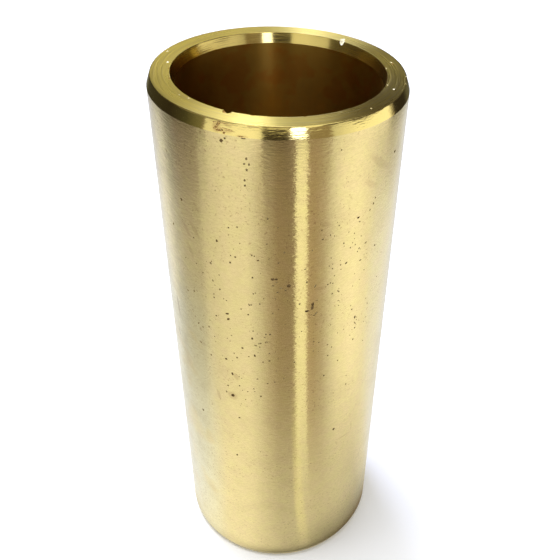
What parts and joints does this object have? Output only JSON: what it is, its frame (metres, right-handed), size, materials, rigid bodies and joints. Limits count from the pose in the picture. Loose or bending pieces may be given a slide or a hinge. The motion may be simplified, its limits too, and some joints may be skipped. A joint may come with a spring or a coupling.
{
  "type": "sleeve bushing",
  "caption": "Plain straight sleeve bushing with a running bore, a press-fit outside and a lead-in chamfer on the bore and the outside at each end.",
  "frame": {"origin": "on the bore's axis, in the plane of the lower end face", "axes": "+Z along the bore, from the lower end face to the upper one; X and Y are any two directions across it, because the part is the same all round"},
  "size_m": [0.0476, 0.0476, 0.1207],
  "materials": {
    "bronze": "turned bronze, satin, with fine circumferential tool lines, slight tarnish and casting pores"
  },
  "bodies": {
    "root": {"sleeve": "bronze"}
  },
  "joints": []
}
